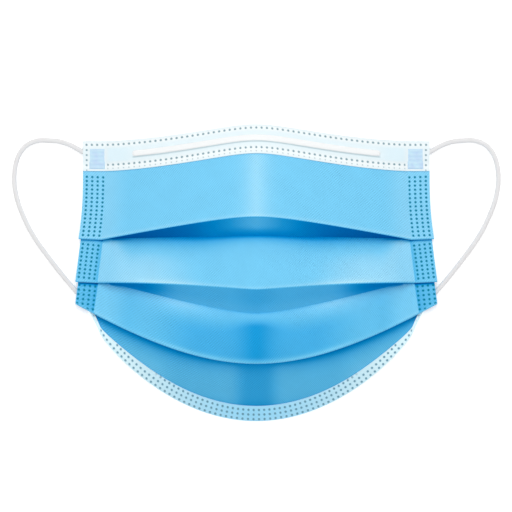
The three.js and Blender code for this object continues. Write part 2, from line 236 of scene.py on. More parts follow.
def run_points(run, share):
    """Points and normals on a run's cubic curve, which leaves and arrives along the run's own directions."""
    length = np.abs(run["end"] - run["start"])
    leave = (1j * run["first"] * length)[:, None]
    arrive = (1j * run["last"] * length)[:, None]
    start = run["start"][:, None]
    end = run["end"][:, None]
    s = np.atleast_2d(share)
    point = start * (2 * s**3 - 3 * s**2 + 1) + leave * (s**3 - 2 * s**2 + s)
    point = point + end * (3 * s**2 - 2 * s**3) + arrive * (s**3 - s**2)
    slope = start * (6 * s**2 - 6 * s) + leave * (3 * s**2 - 4 * s + 1)
    slope = slope + end * (6 * s - 6 * s**2) + arrive * (3 * s**2 - 2 * s)
    width = np.broadcast_to(mix(run["widths"][0], run["widths"][1], s ** run["widening"]), point.shape)
    return point, -1j * slope / np.abs(slope), width


def bend_points(knot, before, after, steps):
    """Arc round a knot, from the end of one run to the start of the next.

    A sweep of nearly a whole turn is taken as a small one the other way.
    """
    start = np.angle(before["last"])
    sweep = np.mod(-knot[1] * (np.angle(after["first"]) - start), 2 * np.pi)
    sweep = np.where(sweep > 1.5 * np.pi, sweep - 2 * np.pi, sweep)
    share = np.arange(1, steps)[None, :] / steps
    normal = np.exp(1j * (start[:, None] - knot[1] * sweep[:, None] * share))
    return knot[0][:, None] - knot[1] * BEND_RADIUS * normal, normal, np.full(normal.shape, float(knot[2]))


def cloth_section(share, steps, bend_steps):
    """The cloth's middle line at each share of the half width: knots joined by runs and bends.

    Returns its points and normals as complex y + iz, its width blend, and for each point the run that it
    is on (plus a half on the bend after that run) and how far along that run it lies.
    """
    knots, across = section_knots(share)
    bulge = [b * DOME_HEIGHT * swell(across, 1, 1) ** 2 for b in BULGES]
    nose_normal = make_run(knots[0], knots[1], 0 * across)["first"]
    chin_normal = make_run(knots[-2], knots[-1], bulge[7])["last"]
    nose = knots[0][0] - EDGE_INSET * nose_normal.imag - BAND_REACH * nose_normal.real
    chin = knots[-1][0] + EDGE_INSET * chin_normal.imag - BAND_REACH * chin_normal.real
    chin = chin + 1j * (BAND_REACH * (chin_normal.imag - 1) - EDGE_INSET * chin_normal.real)
    knots[0] = (nose, 0, knots[0][2])
    knots[-1] = (chin, 0, knots[-1][2])
    runs = [make_run(knots[i], knots[i + 1], bulge[i], WIDENING[i]) for i in range(8)]
    pieces = []
    for index, run in enumerate(runs):
        first = 0 if index == 0 or knots[index][1] != 0 else 1
        s = np.arange(first, steps[index] + 1) / steps[index]
        pieces.append((*run_points(run, s), np.full(s.shape, float(index)), s))
        if index < 7 and knots[index + 1][1] != 0:
            arc = bend_points(knots[index + 1], run, runs[index + 1], bend_steps)
            part = np.full(bend_steps - 1, index + 0.5)
            pieces.append((*arc, part, np.arange(1, bend_steps) / bend_steps))
    point, normal, width, part, along = (np.concatenate(group, axis=-1) for group in zip(*pieces))
    return dict(
        share=share, across=across, point=point, normal=normal, width=width,
        part=part, along=along, runs=runs,
    )


def in_space(x, point):
    """Points x, y and z, from x and complex y + iz."""
    return np.stack([np.broadcast_to(x, point.shape), point.real, point.imag], axis=-1)


def place(section, offset):
    """Points in millimetres at an offset from the middle line, along its normals."""
    point = section["point"] + section["normal"] * offset
    return in_space(section["share"][:, None] * half_width(section["width"]), point)


def side_distance(section):
    """Distance of each point from the mask's side edge."""
    return (1 - np.abs(section["share"]))[:, None] * half_width(section["width"])


def add_up(steps):
    """Running sum along each row, from 0."""
    return np.concatenate([np.zeros((len(steps), 1)), np.cumsum(steps, axis=1)], axis=1)


def cloth_length(section):
    """Distance down the cloth, added up point by point and counted from the fold nearest to each point.

    The nose band and first panel count from the first fold, and so does the strip under it, and in the same
    way the others. The last panel counts from the third fold's height.
    """
    point = section["point"]
    part = section["part"]
    length = add_up(np.abs(np.diff(point, axis=1)))
    counted = np.zeros(length.shape)
    for group, (fold, last) in enumerate(((1.5, 2.5), (3.5, 4.5), (5.5, 6.5))):
        at_fold = length[:, part == fold].mean(axis=1)[:, None]
        in_group = (part > last - 3) & (part <= last)
        counted = np.where(in_group, length - at_fold + group * PANEL_PITCH, counted)
    height = np.where(part[None, :] == 7, point.real, np.inf)
    start = point.real[:, part == 5.5].mean(axis=1)[:, None]
    first = np.argmax(height < start, axis=1)[:, None]
    high, low = (np.take_along_axis(point.real, first - offset, axis=1) for offset in (1, 0))
    before, after = (np.take_along_axis(length, first - offset, axis=1) for offset in (1, 0))
    at_height = mix(before, after, (high - start) / (high - low))
    return np.where(part[None, :] == 7, length - at_height + 3 * PANEL_PITCH, counted)


SHARP_ANGLE = math.radians(55)  # edges that turn more than this stay sharp


def ring_mesh(name, rings, materials, slots, values, uv, pair_caps=True):
    """Closed mesh through rings of equal count, given as sections x ring points x 3 in millimetres.

    Quads join each ring to the next, and the two ends are closed by quads across the wall, which pair the
    first point with the last, or by one flat face. values holds one number per point for each attribute.
    """
    count, ring = rings.shape[:2]
    index = np.arange(count * ring).reshape(count, ring)
    here = index[:-1]
    there = index[1:]
    quads = np.stack([here, np.roll(here, -1, 1), np.roll(there, -1, 1), there], axis=-1).reshape(-1, 4)
    slot = np.tile(slots, count - 1)
    half = ring // 2
    faces = quads.tolist()
    if pair_caps:
        low = np.arange(half - 1)
        first = np.stack([low, ring - 1 - low, ring - 2 - low, low + 1], axis=-1)
        last = index[-1][np.stack([low, low + 1, ring - 2 - low, ring - 1 - low], axis=-1)]
        faces += first.tolist() + last.tolist()
        slot = np.concatenate([slot, np.zeros(2 * (half - 1), int)])
    else:
        faces += [index[0][::-1].tolist(), index[-1].tolist()]
        slot = np.concatenate([slot, [0, 0]])
    mesh = bpy.data.meshes.new(name)
    mesh.from_pydata((rings.reshape(-1, 3) * MM).tolist(), [], faces)
    for material in materials:
        mesh.materials.append(material)
    mesh.polygons.foreach_set("material_index", slot.astype(np.int32))
    mesh.polygons.foreach_set("use_smooth", np.ones(len(mesh.polygons), bool))
    for key, value in values.items():
        attribute = mesh.attributes.new(key, "FLOAT", "POINT")
        attribute.data.foreach_set("value", np.ascontiguousarray(value, np.float32).ravel())
    corner = np.empty(len(mesh.loops), np.int32)
    mesh.loops.foreach_get("vertex_index", corner)
    layer = mesh.uv_layers.new(name="Cloth")
    layer.data.foreach_set("uv", uv.reshape(-1, 2)[corner].astype(np.float32).ravel())
    mesh.set_sharp_from_angle(angle=SHARP_ANGLE)
    mesh.update()
    piece = bpy.data.objects.new(name, mesh)
    bpy.context.scene.collection.objects.link(piece)
    return piece


def both_faces(outer, inner):
    """One ring per section: down the outer face and back up the inner one."""
    return np.concatenate([outer, inner[:, ::-1]], axis=1)


# Camera: straight above and far away with a long lens, framed at the mask as the photograph is.
FRAME_WIDTH = 259.7
FRAME_MIDDLE = (-0.15, 8.5)
CAMERA_HEIGHT = 12000.0
SENSOR_WIDTH = 36.0
camera_data = bpy.data.cameras.new("camera")
camera_data.sensor_width = SENSOR_WIDTH
camera_data.lens = SENSOR_WIDTH * CAMERA_HEIGHT / FRAME_WIDTH
camera = bpy.data.objects.new("camera", camera_data)
camera.location = (FRAME_MIDDLE[0] * MM, FRAME_MIDDLE[1] * MM, CAMERA_HEIGHT * MM)
bpy.context.scene.collection.objects.link(camera)
bpy.context.scene.camera = camera


class Nodes:
    """Short calls to make a material's nodes and their links."""

    def __init__(self, name):
        self.material = bpy.data.materials.new(name)
        self.material.use_nodes = True
        self.tree = self.material.node_tree
        self.shader = self.tree.nodes["Principled BSDF"]

    def add(self, kind, inputs=(), **settings):
        """New node with its settings, and its inputs linked or set."""
        node = self.tree.nodes.new(kind)
        for key, value in settings.items():
            setattr(node, key, value)
        for key, value in dict(inputs).items():
            if isinstance(value, bpy.types.NodeSocket):
                self.tree.links.new(value, node.inputs[key])
            else:
                node.inputs[key].default_value = value
        return node

    def attribute(self, name):
        """A number stored on the mesh's points."""
        return self.add("ShaderNodeAttribute", attribute_name=name).outputs["Fac"]

    def math(self, operation, first, second=0.0, third=0.0):
        """One step of arithmetic."""
        return self.add("ShaderNodeMath", {0: first, 1: second, 2: third}, operation=operation).outputs[0]

    def blend(self, share, first, second):
        """Colour between two by a share."""
        return self.add("ShaderNodeMix", {0: share, 6: first, 7: second}, data_type="RGBA").outputs[2]

    def ramp(self, share, stops):
        """Colour ramp through stops of a place from 0 to 1 and its colour."""
        node = self.add("ShaderNodeValToRGB", {0: share})
        elements = node.color_ramp.elements
        while len(elements) < len(stops):
            elements.new(0.5)
        for element, (position, colour) in zip(elements, stops):
            element.position = position
            element.color = colour
        return node.outputs[0]

    def tinted(self, colour, light):
        """Colour times a grey of that lightness."""
        grey = self.add("ShaderNodeCombineColor", {0: light, 1: light, 2: light}).outputs[0]
        inputs = {0: 1.0, 6: colour, 7: grey}
        return self.add("ShaderNodeMix", inputs, data_type="RGBA", blend_type="MULTIPLY").outputs[2]

    def vary(self, light, noise, amount):
        """Light made a little brighter and darker by a noise, in all by an amount."""
        return self.math("MULTIPLY_ADD", self.math("SUBTRACT", noise, 0.5), amount, light)

    def noise(self, vector, scale, detail=2.0, roughness=0.5):
        """Cloudy noise about 0.5."""
        inputs = {"Vector": vector, "Scale": scale, "Detail": detail, "Roughness": roughness}
        return self.add("ShaderNodeTexNoise", inputs).outputs["Fac"]

    def cloth_uv(self, turn=0.0):
        """The piece's own map, turned by an angle: millimetres on cloth, and from 0 to 1 round a cord."""
        uv = self.add("ShaderNodeUVMap", uv_map="Cloth").outputs[0]
        return self.add("ShaderNodeMapping", {"Vector": uv, "Rotation": (0, 0, turn)}).outputs[0]

    def stripes(self, vector, period):
        """Sine wave across the vector's x, from -1 to 1, with the period in the vector's own units."""
        x = self.add("ShaderNodeSeparateXYZ", {0: vector}).outputs[0]
        return self.math("SINE", self.math("MULTIPLY", x, 2 * math.pi / period))

    def bump(self, height, strength, distance):
        """Fine relief from a height, with the distance in metres."""
        inputs = {"Height": height, "Strength": strength, "Distance": distance}
        return self.add("ShaderNodeBump", inputs).outputs[0]

    def finish(self, colour, normal, roughness, specular, sheen=0.0):
        """Link the colour and the relief, and set the rest on the shader itself."""
        shader = self.shader
        self.tree.links.new(colour, shader.inputs["Base Color"])
        if normal is not None:
            self.tree.links.new(normal, shader.inputs["Normal"])
        shader.inputs["Roughness"].default_value = roughness
        shader.inputs["Specular IOR Level"].default_value = specular
        shader.inputs["Sheen Weight"].default_value = sheen
        shader.inputs["Sheen Roughness"].default_value = 0.5
        return self.material


# Blues of the outer cloth, lit and shaded: from the painted highlight on the ridge to the painted shadow in
# the deepest gap, and how much painted shade each one stands for.
LIT_AND_SHADED_BLUES = [
    (-0.4, (0.42, 0.73, 0.87, 1)),
    (-0.2, (0.29, 0.64, 0.86, 1)),
    (0.0, (0.175, 0.56, 0.83, 1)),
    (0.25, (0.100, 0.465, 0.76, 1)),
    (0.42, (0.060, 0.400, 0.73, 1)),
    (0.6, (0.010, 0.295, 0.635, 1)),
    (0.72, (0.0, 0.235, 0.575, 1)),
    (0.86, (0.0, 0.160, 0.465, 1)),
    (1.05, (0.0, 0.095, 0.345, 1)),
]
DOT_TEAL = (0.0, 0.19, 0.31, 1)
ROW_TURN = math.radians(42)  # the pressed rows, and square to them their dashes
DASH_TURN = math.radians(-48)


def blue_cloth():
    """Spunbond cloth: diagonal rows of short pressed dashes, fibres, mottling.

    Its blue carries painted shade in the pleats and under the folds, and painted highlights on the ridge and
    fold edges.
    """
    n = Nodes("blue_cloth")
    uv = n.cloth_uv()
    rows = n.stripes(n.cloth_uv(ROW_TURN), 1.0)
    dashes = n.stripes(n.cloth_uv(DASH_TURN), 3.4)
    fibre = n.noise(uv, 2.2, 6.0, 0.75)
    mottle = n.noise(uv, 0.09, 3.0, 0.55)
    worn = n.math("MULTIPLY_ADD", n.noise(uv, 0.055, 2.0, 0.5), 1.6, -0.2)
    press = n.math("MULTIPLY_ADD", n.math("MULTIPLY", rows, dashes), 0.4, n.math("MULTIPLY", rows, 0.6))
    press = n.math("MULTIPLY", press, worn)
    lowest = LIT_AND_SHADED_BLUES[0][0]
    reach = LIT_AND_SHADED_BLUES[-1][0] - lowest
    # the shade attribute holds painted shade and highlight, laid along the folds, and picks the blue
    shade = n.math("MULTIPLY_ADD", n.attribute("shade"), 1 / reach, -lowest / reach)
    colour = n.ramp(shade, [((depth - lowest) / reach, blue) for depth, blue in LIT_AND_SHADED_BLUES])
    light = n.math("MULTIPLY_ADD", press, 0.19, 1.0)
    light = n.vary(n.vary(light, fibre, 0.14), mottle, 0.12)
    colour = n.tinted(colour, light)
    colour = n.blend(n.attribute("dot"), colour, DOT_TEAL)
    height = n.math("MULTIPLY_ADD", fibre, 0.6, press)
    normal = n.bump(height, 0.4, 0.00016)
    return n.finish(colour, normal, 0.7, 0.0)


def lining_cloth():
    """White inner cloth with the same fine pressed dashes and loose fibres."""
    n = Nodes("lining_cloth")
    uv = n.cloth_uv()
    rows = n.stripes(n.cloth_uv(ROW_TURN), 1.1)
    dashes = n.stripes(n.cloth_uv(DASH_TURN), 1.6)
    press = n.math("MULTIPLY", rows, dashes)
    fibre = n.noise(uv, 2.0, 6.0, 0.75)
    light = n.vary(1.0, fibre, 0.14)
    light = n.math("MULTIPLY_ADD", press, 0.03, light)
    white = n.blend(n.attribute("dot"), (0.78, 0.83, 0.86, 1), (0.45, 0.58, 0.66, 1))
    colour = n.tinted(white, light)
    normal = n.bump(n.math("MULTIPLY_ADD", fibre, 0.8, press), 0.3, 0.00012)
    return n.finish(colour, normal, 0.7, 0.3, 0.2)


def white_band(name, white, tint, dot):
    """Folded white cloth over the blue one: pressed dots with a bright rim, fine fibres, a bluish tint."""
    n = Nodes(name)
    uv = n.cloth_uv()
    fibre = n.noise(uv, 2.4, 6.0, 0.75)
    mottle = n.noise(uv, 0.2, 3.0, 0.5)
    light = n.vary(n.vary(1.0, fibre, 0.08), mottle, 0.05)
    base = n.blend(n.attribute("shade"), white, tint)
    base = n.blend(n.attribute("rim"), base, (0.83, 0.88, 0.89, 1))
    colour = n.tinted(base, light)
    colour = n.blend(n.math("MULTIPLY", n.attribute("dot"), 0.9), colour, dot)
    return n.finish(colour, n.bump(fibre, 0.25, 0.0001), 0.65, 0.2, 0.05)


def strip_cover():
    """Thin smooth white cloth stretched over the nose strip."""
    n = Nodes("strip_cover")
    fibre = n.noise(n.cloth_uv(), 2.0, 5.0, 0.7)
    light = n.vary(1.0, fibre, 0.04)
    colour = n.tinted((0.83, 0.845, 0.85, 1), light)
    return n.finish(colour, n.bump(fibre, 0.15, 0.00008), 0.55, 0.25)


def welded_cloth():
    """Pressed, half melted square: pale lavender blue, blotched, with fine ribs."""
    n = Nodes("welded_cloth")
    uv = n.cloth_uv()
    blotch = n.noise(uv, 0.35, 3.0, 0.6)
    fibre = n.noise(uv, 2.2, 5.0, 0.7)
    spread = n.math("MULTIPLY_ADD", blotch, 2.4, -0.7)
    colour = n.blend(spread, (0.44, 0.59, 0.80, 1), (0.50, 0.72, 0.83, 1))
    colour = n.blend(n.math("MULTIPLY", n.attribute("rim"), 0.16), colour, (0.74, 0.84, 0.92, 1))
    return n.finish(colour, n.bump(fibre, 0.2, 0.0001), 0.5, 0.3)


def ear_elastic():
    """Knitted elastic: chains of small stitches along the cord."""
    n = Nodes("ear_elastic")
    wales = n.stripes(n.cloth_uv(), 1 / 12)
    stitches = n.stripes(n.cloth_uv(math.radians(90)), 0.9)
    knit = n.math("MULTIPLY_ADD", n.math("MULTIPLY", wales, stitches), 0.6, n.math("MULTIPLY", wales, 0.4))
    light = n.math("MULTIPLY_ADD", knit, 0.07, 1.0)
    colour = n.tinted((0.735, 0.73, 0.735, 1), light)
    return n.finish(colour, n.bump(knit, 0.45, 0.0001), 0.8, 0.15, 0.1)


BLUE = blue_cloth()
LINING = lining_cloth()
NOSE_WHITE = white_band(
    "nose_band_cloth", white=(0.74, 0.825, 0.855, 1), tint=(0.68, 0.82, 0.88, 1), dot=(0.12, 0.25, 0.30, 1),
)
CHIN_WHITE = white_band(
    "chin_band_cloth", white=(0.69, 0.90, 0.96, 1), tint=(0.32, 0.73, 0.98, 1), dot=(0.06, 0.24, 0.36, 1),
)
STRIP_WHITE = strip_cover()
WELDED = welded_cloth()
ELASTIC = ear_elastic()


# Ear loops.
ROUTE_STEPS = 9  # rings from one point of the route to the next
CORD_SIDES = 28
CORD_CAUGHT = 3.0  # length at each end that the weld presses flat
CORD_ROUNDING = 6.0  # length over which the elastic gets round again


def distance_along(line):
    """Distance of each of a line's points from its first, along the line."""
    return add_up(np.linalg.norm(np.diff(line, axis=0), axis=1)[None, :])[0]


def spline(points, per_span):
    """Catmull-Rom curve through the points, with its ends doubled, and the distance along it."""
    p = np.asarray(points, float)
    p = np.concatenate([[2 * p[0] - p[1]], p, [2 * p[-1] - p[-2]]])
    s = np.arange(per_span) / per_span
    before = -s + 2 * s**2 - s**3
    here = 2 - 5 * s**2 + 3 * s**3
    there = s + 4 * s**2 - 3 * s**3
    weights = np.stack([before, here, there, s**3 - s**2]) / 2
    spans = np.stack([p[:-3], p[1:-2], p[2:-1], p[3:]], axis=1)
    line = np.einsum("ws,nwd->nsd", weights, spans).reshape(-1, p.shape[1])
    line = np.concatenate([line, p[-2:-1]])
    return line, distance_along(line)


def ear_loop(node, name, side):
    """Round elastic along its route, pressed flatter where its ends run into the side band's weld."""
    route = [(-side * x, y) for x, y in LOOP_START_TUCK + LOOP_ROUTE + LOOP_END_TUCK]
    line, distance = spline(route, ROUTE_STEPS)
    end = distance[-1] - distance
    free = smooth((np.minimum(distance, end) - CORD_CAUGHT) / CORD_ROUNDING)
    height = LOOP_DIAMETER * mix(LOOP_PRESSED, 1, free)
    forward = np.gradient(line, axis=0)
    forward /= np.linalg.norm(forward, axis=1)[:, None]
    sideways = np.stack([-forward[:, 1], forward[:, 0]], axis=1)
    around = 2 * np.pi * np.arange(CORD_SIDES) / CORD_SIDES
    wide = LOOP_DIAMETER / 2 * np.cos(around)[None, :, None] * sideways[:, None, :]
    z = height[:, None] / 2 * (1 + np.sin(around))[None, :]
    flat = line[:, None, :] + wide
    rings = np.concatenate([flat, z[:, :, None]], axis=2)
    uv = np.stack(np.broadcast_arrays(around[None, :] / (2 * np.pi), distance[:, None]), axis=-1)
    piece = ring_mesh(name, rings, [ELASTIC], np.zeros(CORD_SIDES, int), {}, uv, pair_caps=False)
    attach(piece, "root")
    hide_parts(node)


ear_loop("ear_loop_left", "left_elastic", -1)
ear_loop("ear_loop_right", "right_elastic", 1)


# Cloth. Pitches of the columns of points: in the middle, near the seams, and where dots are pressed.
COLUMN_PITCH = 1.0
SEAM_PITCH = 0.35
DOT_PITCH = 0.3
SEAM_REACH = 7.0  # how far from a seam the columns stand closer


def shares_between(first, last, pitch):
    """Evenly spaced shares of the half width, about a pitch apart."""
    count = max(2, int(round(abs(last - first) * NOSE_WIDTH / 2 / pitch)))
    return np.linspace(first, last, count + 1)


def middle_shares():
    """Columns of the middle cloth, closer together near the seams, where the pleats close."""
    close = SEAM - 2 * SEAM_REACH / NOSE_WIDTH
    left = shares_between(-SEAM, -close, SEAM_PITCH)
    middle = shares_between(-close, close, COLUMN_PITCH)
    return np.concatenate([left[:-1], middle[:-1], -left[::-1]])


DOT_EDGE = 0.28  # width of a dot's soft edge


def dot_mask(distance, radius):
    """1 inside a pressed dot and 0 outside, with a soft edge."""
    return smooth((radius - distance) / DOT_EDGE + 0.5)


def nearest(value, first, pitch, count):
    """Distance to the nearest of count places, a pitch apart."""
    place_index = np.clip(np.round((value - first) / pitch), 0, count - 1)
    return value - first - place_index * pitch


DOT_RADIUS = 0.6
DOT_DEPTH = 0.16
# Tiers of the side bands, by their run.
# depth: the weld's own pressed tone together with painted shade, lighter on the top tier and
# darker on the lower ones. along_seam: darkening added at the seam. inset and slant: how far short of the
# seam the weld stays, and how that grows downwards. reach: how far down the painted shadow of the fold above
# goes.
SIDE_TIERS = {
    1: dict(depth=-0.08, along_seam=0.0, inset=0.0, slant=0.0, reach=1.0),
    3: dict(depth=0.06, along_seam=0.3, inset=0.0, slant=0.0, reach=0.8),
    5: dict(depth=0.24, along_seam=0.25, inset=1.2, slant=0.05, reach=1.3),
}
SEAM_FADE = 1.6  # width over which the darkening along the seam fades
# painted shadow under each fold in the side bands
FOLD_SHADOW = 0.75
CUT_EDGE_SHADE = 0.2  # most painted shade on the cut ends of the layers, at the side edges
CUT_EDGE_REACH = 0.6
DEEPEST = 1.1  # past the last blue, so it holds nothing back
# Dots of each tier: the first row is counted from the tier's fold, or for the last tier from the fold above,
# and the first column from the side edge.
TIER_DOTS = {
    1: dict(first_row=2.15, row_pitch=2.11, rows=15, first_column=1.95, column_pitch=2.77),
    3: dict(first_row=2.4, row_pitch=2.09, rows=9, first_column=1.45, column_pitch=2.65),
    5: dict(first_row=1.75, row_pitch=2.3, rows=6, first_column=0.85, column_pitch=2.62),
}
DOT_COLUMNS = 4
ROW_TILT = 0.06  # how far the rows of the lower tiers fall towards the middle, share of the distance
DOT_CLEARANCE = 0.6  # from the third fold to the dots above it
CLEARANCE_EDGE = 0.3  # width over which they end there


def side_dots(section):
    """Pressed dots of the side bands: four columns, with the rows set out from each tier's fold."""
    y = section["point"].real
    share = section["share"]
    in_band = band_shares(share)[1]
    seam = np.ones_like(share)
    fold = [line_y(LINES[key], seam, in_band)[:, None] for key in ("fold1", "fold2", "fold3")]
    from_side = side_distance(section)
    part = section["part"][None, :]
    tilt = ROW_TILT * (from_side - SIDE_BAND_WIDTH / 2)
    heights = {1: y - fold[0], 3: y - fold[1] + tilt, 5: fold[1] - y - tilt}
    dots = np.zeros(y.shape)
    for run, tier in TIER_DOTS.items():
        row = nearest(heights[run], tier["first_row"], tier["row_pitch"], tier["rows"])
        column = nearest(from_side, tier["first_column"], tier["column_pitch"], DOT_COLUMNS)
        clear = smooth((y - fold[2] - DOT_CLEARANCE) / CLEARANCE_EDGE) if run == 5 else 1
        dots = np.where(part == run, dot_mask(np.hypot(column, row), DOT_RADIUS) * clear, dots)
    return dots


FAR = 99.0


def fold_distances(section):
    """How far each panel's points lie below the fold and crease above, and above the fold below."""
    part = section["part"]
    y = section["point"].real
    below = np.full(y.shape, FAR)
    above = np.full(y.shape, FAR)
    for panel in (3, 5, 7):
        fold = y[:, part == panel - 1.5].min(axis=1)
        crease = y[:, part == panel - 0.5].min(axis=1)
        below = np.where(part == panel, np.minimum(fold, crease)[:, None] - y, below)
    for panel in (1, 3, 5):
        above = np.where(part == panel, y - y[:, part == panel + 0.5].max(axis=1)[:, None], above)
    return np.maximum(0, below), np.maximum(0, above)


# Painted shade and highlight, as places on LIT_AND_SHADED_BLUES: above 0 painted shade, below 0 painted
# highlight. Here x is the distance from the middle, to_seam from the seam, and below and above from the
# folds, in millimetres. near_seam, and along down a run, go from 0 to 1.
def strip_depths(x):
    """Painted shade in the strips under the three folds, by their runs: the first is palest in the middle.
    """
    first = 0.36 + 0.66 * (1 - bell(x, 26, 1.2))
    second = 0.4 + 0.4 * smooth((x - 36) / 24) + 0.09 * bell(x, 10)
    return {2: first, 4: second, 6: np.full(x.shape, 0.8)}


def first_panel(x, to_seam):
    """Painted highlight down its middle, and a little paler at the seams."""
    return -0.2 * bell(x, 6.2, 1.6) - 0.1 * smooth(1 - to_seam / 14)


def second_panel(x, below, above, near_seam):
    """Painted shadow that fades below the first fold, and painted highlight on both sides of the middle."""
    shown = np.maximum(0, below - CLOTH_WALL / 2)
    fade = mix(mix(5.8, 2.2, bell(x, 34)), 0.9, near_seam)
    depth = mix(0.03, -0.22, smooth((x - 22) / 36)) + 0.84 * bell(below, fade, 1.15)
    depth = mix(depth + 0.08 * near_seam, 0.9, near_seam * bell(shown, 0.8))
    return depth - 0.13 * bell(x - 43, 14) * bell(above, 2.4)


def third_panel(x, below, above, near_seam):
    """Painted shade deepening from its crease to its fold in the middle, and painted highlight at the crease
    on both sides of it.
    """
    shown = np.maximum(0, below - CLOTH_WALL / 2)
    turning_shade = 0.3 * (1 - smooth((x - 28) / 34)) + 0.17 * bell(x, 9)
    depth = 0.13 + turning_shade * smooth((below - 1) / mix(13, 6, bell(x, 14))) + 0.2 * bell(below, 0.5, 1)
    depth = depth - 0.26 * bell(x - 39, 15) * bell(below, 6)
    depth = depth + 0.08 * bell(x - 66, 12) - 0.16 * near_seam
    depth = mix(depth, 0.8, near_seam * bell(shown, 0.6))
    return depth - 0.3 * bell(above, 1.5) * smooth(turning_shade * 4)


def fourth_panel(x, below, along):
    """Painted shade, deepest down the middle and at the chin edge, with a painted shadow below the third
    fold.
    """
    middle = 0.27 + 0.26 * bell(x, 10.5, 4) - 0.2 * smooth((x - 38) / 16) * along
    chin = 0.24 * smooth(along * 2 - 1) * (1 - smooth((x - 16) / 18))
    shadow = mix(0.9, 0.72, bell(x, 26)) - middle
    return middle + chin + shadow * bell(below, mix(4.2, 2.4, bell(x, 30)), 1.1)


def cloth_depth(section):
    """Painted shade over the whole cloth: panels with a painted highlight above each fold, and the strips.
    """
    part = section["part"][None, :]
    along = section["along"][None, :]
    half = half_width(section["width"])
    x = np.abs(section["share"][:, None] * half)
    to_seam = SEAM * half - x
    near_seam = smooth((16 - to_seam) / 12)
    below, above = fold_distances(section)
    # painted highlight: a pale line just above each fold
    line = 0.12 * bell(above, 1.1)
    panels = {
        1: first_panel(x, to_seam) - line,
        3: second_panel(x, below, above, near_seam) - line * (1 - smooth((x - 52) / 14)),
        5: third_panel(x, below, above, near_seam) - 0.7 * line,
        7: fourth_panel(x, below, along),
    }
    depth = np.zeros(below.shape)
    for run, value in panels.items():
        depth = np.where(part == run, value, depth)
    for run, value in strip_depths(x).items():
        # painted shade deepening into each crease, and the bend at each fold's edge kept paler, a painted
        # highlight
        in_strip = np.where(part > run, 1, along)
        crease_shade = np.maximum(0, 0.74 - value) if run == 2 else -0.1
        value = value + crease_shade * smooth((in_strip - 0.4) / 0.6)
        depth = np.where((part == run) | (part == run + 0.5), value, depth)
        turned = smooth((along - 0.45) / 0.3)
        depth = np.where(part == run - 0.5, mix(0.14, value, turned), depth)
    return depth


def cloth_values(section, dotted):
    """Painted shade and highlight, with the side bands' tone and shade: deeper in lower tiers and at the
    seam.
    """
    depth = cloth_depth(section)
    if not dotted:
        return dict(shade=depth, dot=np.zeros(depth.shape))
    part = section["part"][None, :]
    from_side = side_distance(section)
    below, above = fold_distances(section)
    shown = np.maximum(0, below - CLOTH_WALL / 2)
    # painted highlight: a pale line just above each fold
    line = 0.1 * bell(above, 0.5)
    for run, tier in SIDE_TIERS.items():
        inside = SIDE_BAND_WIDTH - tier["inset"] - tier["slant"] * below - from_side
        value = tier["depth"] + tier["along_seam"] * bell(np.maximum(0, inside), SEAM_FADE, 1) - line
        # painted shadow below the fold above
        value = value + FOLD_SHADOW * bell(shown, tier["reach"])
        pressed = 1 if run == 1 else smooth(inside / 0.4 + 0.5)
        depth = np.where(part == run, mix(depth, value, pressed), depth)
    # little painted shade on the cut ends of the layers, at the side edges
    depth = np.minimum(depth, mix(CUT_EDGE_SHADE, DEEPEST, smooth(from_side / CUT_EDGE_REACH)))
    return dict(shade=depth, dot=side_dots(section))


def body_piece(name, shares, steps, dotted):
    """A length of the pleated cloth between two shares of the half width."""
    section = cloth_section(shares, steps, BEND_STEPS)
    values = cloth_values(section, dotted)
    dots = values["dot"]
    outer = place(section, CLOTH_WALL / 2 - dots * DOT_DEPTH)
    inner = place(section, -CLOTH_WALL / 2 + dots * DOT_DEPTH * 0.6)
    rings = both_faces(outer, inner)
    x = outer[:, :, 0]
    uv = np.stack([x, -cloth_length(section)], axis=-1)
    count = outer.shape[1]
    slots = np.zeros(2 * count, int)
    slots[count : 2 * count - 1] = 1
    values = {key: both_faces(value, value) for key, value in values.items()}
    piece = ring_mesh(name, rings, [BLUE, LINING], slots, values, both_faces(uv, uv))
    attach(piece, "root")
    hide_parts("pleated_body")
    return piece


# Steps down each run, from the nose band to the last panel, and round each bend.
MIDDLE_STEPS = [4, 36, 9, 32, 9, 34, 9, 38]
SIDE_STEPS = [5, 112, 10, 98, 10, 84, 10, 30]
BEND_STEPS = 9
pleated_cloth = body_piece("pleated_cloth", middle_shares(), MIDDLE_STEPS, False)
left_weld = body_piece("side_weld_left", shares_between(-1, -SEAM, DOT_PITCH), SIDE_STEPS, True)
right_weld = body_piece("side_weld_right", shares_between(SEAM, 1, DOT_PITCH), SIDE_STEPS, True)


# Bindings.
RIM_STEPS = 7  # round the fold of a binding


def binding_faces(leaf, sign, relief):
    """Sleeve round the cloth's edge: front leaf, half-round rim and back leaf outside, and the same inside.

    leaf holds the cloth's middle line from the edge inwards, and relief raises the front leaf's outer face.
    """
    normal = leaf["normal"][:, :1]
    outward = sign * 1j * normal
    x = leaf["share"][:, None] * half_width(leaf["width"][:, :1])
    angle = np.pi * np.arange(1, RIM_STEPS) / RIM_STEPS

    def rim(reach, beyond):
        """Half an ellipse round the edge, from the front to the back."""
        point = leaf["point"][:, :1] + normal * np.cos(angle) * reach + outward * np.sin(angle) * beyond
        return in_space(x, point)

    near = BAND_REACH - BAND_WALL
    front = place(leaf, BAND_REACH + relief)[:, ::-1]
    inner_front = place(leaf, near)[:, ::-1]
    outer = np.concatenate([front, rim(BAND_REACH, EDGE_INSET), place(leaf, -BAND_REACH)], axis=1)
    inner = np.concatenate([inner_front, rim(near, BAND_FIT), place(leaf, -near)], axis=1)
    return outer, inner


